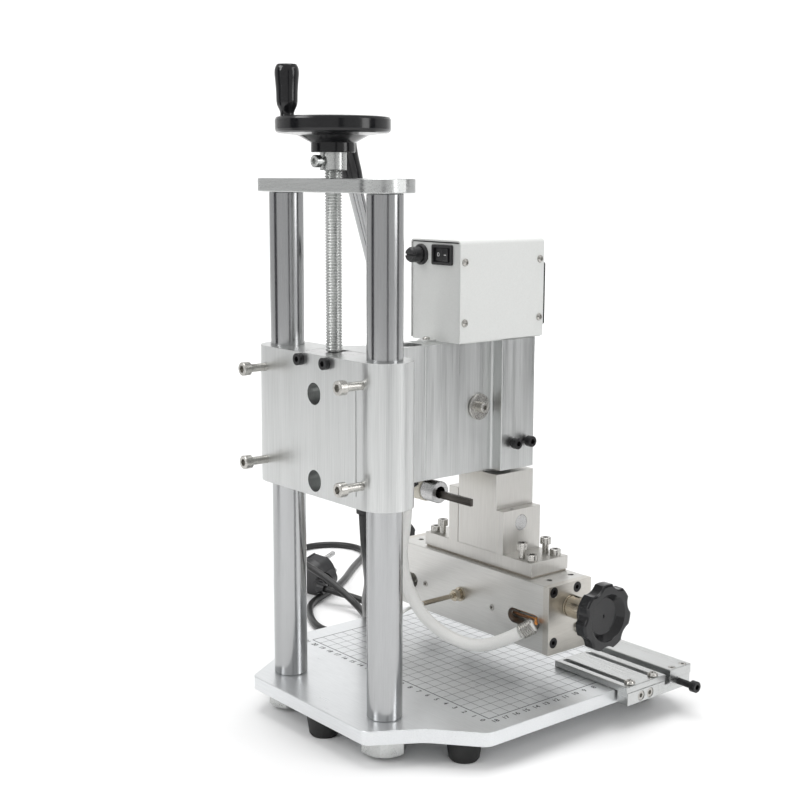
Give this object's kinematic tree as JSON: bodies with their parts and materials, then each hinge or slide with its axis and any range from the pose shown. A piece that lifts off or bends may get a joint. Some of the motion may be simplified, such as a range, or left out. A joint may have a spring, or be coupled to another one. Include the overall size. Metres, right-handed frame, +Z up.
{
  "type": "heated embossing press",
  "caption": "Bench press with two columns, a head lifted by a handwheel screw, a hand lever that drives a heated ram bar with clamping jaws, and a ruled table with a side stop.",
  "frame": {"origin": "middle of the footprint of the press without its power cord, on the surface the rubber feet stand on", "axes": "+Z up, +X to the operator's right (lever side), +Y to the rear (column side); the operator stands on the -Y side"},
  "size_m": [0.565, 0.3487, 0.4765],
  "materials": {
    "chrome": "hard chrome, polished",
    "alu_head": "vertically brushed, clear anodised",
    "alu_beam": "fine milled, satin",
    "base_mirror": "polished plate with printed ruler grid",
    "zinc": "bright zinc plated",
    "stainless": "stainless socket screws",
    "black_steel": "black oxide",
    "gloss_black": "polished black bakelite",
    "black_plastic": "moulded",
    "rubber_black": "moulded rubber",
    "white_paint": "fine white powder coat",
    "bronze": "turned, lightly worn",
    "steel": "ground steel",
    "cream_rubber": "cast roller cover",
    "braid": "white glass braid",
    "fibre": "heat resistant board",
    "spring_steel": "coiled wire",
    "pvc_black": "soft cable sheath"
  },
  "bodies": {
    "base": {"base_plate": "base_mirror", "rubber_feet": "rubber_black", "base_screws": "zinc", "columns": "chrome", "column_fasteners": "zinc", "top_plate": "alu_head", "side_bar": "alu_beam", "guide_block": "alu_beam", "power_cord": "pvc_black", "mains_plug": "black_plastic"},
    "head": {"head_block": "alu_head", "head_lock_screws": "stainless", "screw_retainer": "steel", "head_socket_screws": "black_steel", "control_box_cover": "white_paint", "control_box_chassis": "white_paint", "box_fasteners": "stainless", "switch_body": "black_plastic", "fuse_holder": "black_plastic", "temperature_controller": "black_plastic", "lever_bearing": "alu_head", "return_spring": "spring_steel", "foil_bracket": "black_steel", "foil_axle": "steel", "cable_glands": "black_plastic"},
    "wheel": {"handwheel": "gloss_black", "screw_collar": "zinc", "lead_screw": "steel", "crank_pin": "steel"},
    "crank_handle": {"crank_grip": "gloss_black"},
    "lever": {"pinion_shaft": "steel", "shaft_end_fastener": "stainless", "lever_hub": "alu_head", "lever_rod": "chrome", "lever_grip": "gloss_black"},
    "ram_head": {"ram": "steel", "neck_block": "alu_beam", "bracket": "alu_beam", "pivot_pin": "steel", "insulation_plate": "fibre", "bracket_screws": "stainless", "heated_beam": "alu_beam", "end_plates": "alu_beam", "beam_screws": "black_steel", "heaters": "stainless", "thermocouple": "bronze", "hose_strain_spring": "spring_steel", "heater_hose": "braid", "thermocouple_lead": "braid"},
    "left_knob": {"knob_left": "gloss_black", "clamp_screw_left": "bronze"},
    "right_knob": {"knob_right": "gloss_black", "clamp_screw_right": "bronze"},
    "left_jaw": {"jaw_left": "alu_beam"},
    "right_jaw": {"jaw_right": "alu_beam"},
    "rocker": {"switch_rocker": "black_plastic"},
    "cap": {"fuse_cap": "black_plastic"},
    "roller": {"foil_roller": "cream_rubber"},
    "guide": {"guide_plate": "alu_beam"},
    "thumb_screw": {"bar_thumb_screw": "black_steel"}
  },
  "joints": [
    {"name": "head_slide", "type": "slide", "parent": "base", "child": "head", "axis": [0, 0, 1], "range_m": [-0.002, 0.07]},
    {"name": "wheel_spin", "type": "hinge", "parent": "head", "child": "wheel", "pos_m": [0.014, 0.0994, 0.408], "axis": [0, 0, 1], "range_deg": [-361, 12602]},
    {"name": "crank_grip_spin", "type": "hinge", "parent": "wheel", "child": "crank_handle", "pos_m": [0.034, 0.1235, 0.458], "axis": [0, 0, 1], "continuous": true},
    {"name": "lever_swing", "type": "hinge", "parent": "head", "child": "lever", "pos_m": [0.085, -0.0256, 0.2293], "axis": [1, 0, 0], "range_deg": [0, 76.39]},
    {"name": "ram_slide", "type": "slide", "parent": "head", "child": "ram_head", "axis": [0, 0, 1], "range_m": [-0.015, 0], "stiffness_N_per_m": 2500, "springref_m": 0.02, "deforming": ["return_spring"]},
    {"name": "knob_left_turn", "type": "hinge", "parent": "ram_head", "child": "left_knob", "pos_m": [-0.093, -0.0535, 0.0853], "axis": [1, 0, 0], "range_deg": [0, 2881]},
    {"name": "jaw_left_slide", "type": "slide", "parent": "ram_head", "child": "left_jaw", "axis": [1, 0, 0], "range_m": [0, 0.012]},
    {"name": "knob_right_turn", "type": "hinge", "parent": "ram_head", "child": "right_knob", "pos_m": [0.121, -0.0535, 0.0853], "axis": [1, 0, 0], "range_deg": [-2881, 0]},
    {"name": "jaw_right_slide", "type": "slide", "parent": "ram_head", "child": "right_jaw", "axis": [1, 0, 0], "range_m": [-0.012, 0]},
    {"name": "switch_rock", "type": "hinge", "parent": "head", "child": "rocker", "pos_m": [0.0095, 0.0004, 0.3443], "axis": [0, 0, 1], "range_deg": [0, 16]},
    {"name": "fuse_cap_turn", "type": "hinge", "parent": "head", "child": "cap", "pos_m": [0.034, 0.01, 0.3437], "axis": [0, 1, 0], "range_deg": [0, 90]},
    {"name": "foil_roller_spin", "type": "hinge", "parent": "head", "child": "roller", "pos_m": [0.0386, 0.006, 0.1658], "axis": [1, 0, 0], "continuous": true},
    {"name": "guide_plate_slide", "type": "slide", "parent": "base", "child": "guide", "axis": [1, 0, 0], "range_m": [-0.062, 0]},
    {"name": "thumb_screw_turn", "type": "hinge", "parent": "base", "child": "thumb_screw", "pos_m": [-0.138, -0.1226, 0.024], "axis": [1, 0, 0], "range_deg": [-360, 0]}
  ],
  "couplings": [
    {"joint": "wheel_spin", "follows": "head_slide", "rad_per_m": 3141.6},
    {"joint": "ram_slide", "follows": "lever_swing", "m_per_rad": -0.01125},
    {"joint": "knob_left_turn", "follows": "jaw_left_slide", "rad_per_m": 4188.8},
    {"joint": "knob_right_turn", "follows": "jaw_right_slide", "rad_per_m": 4188.8}
  ]
}
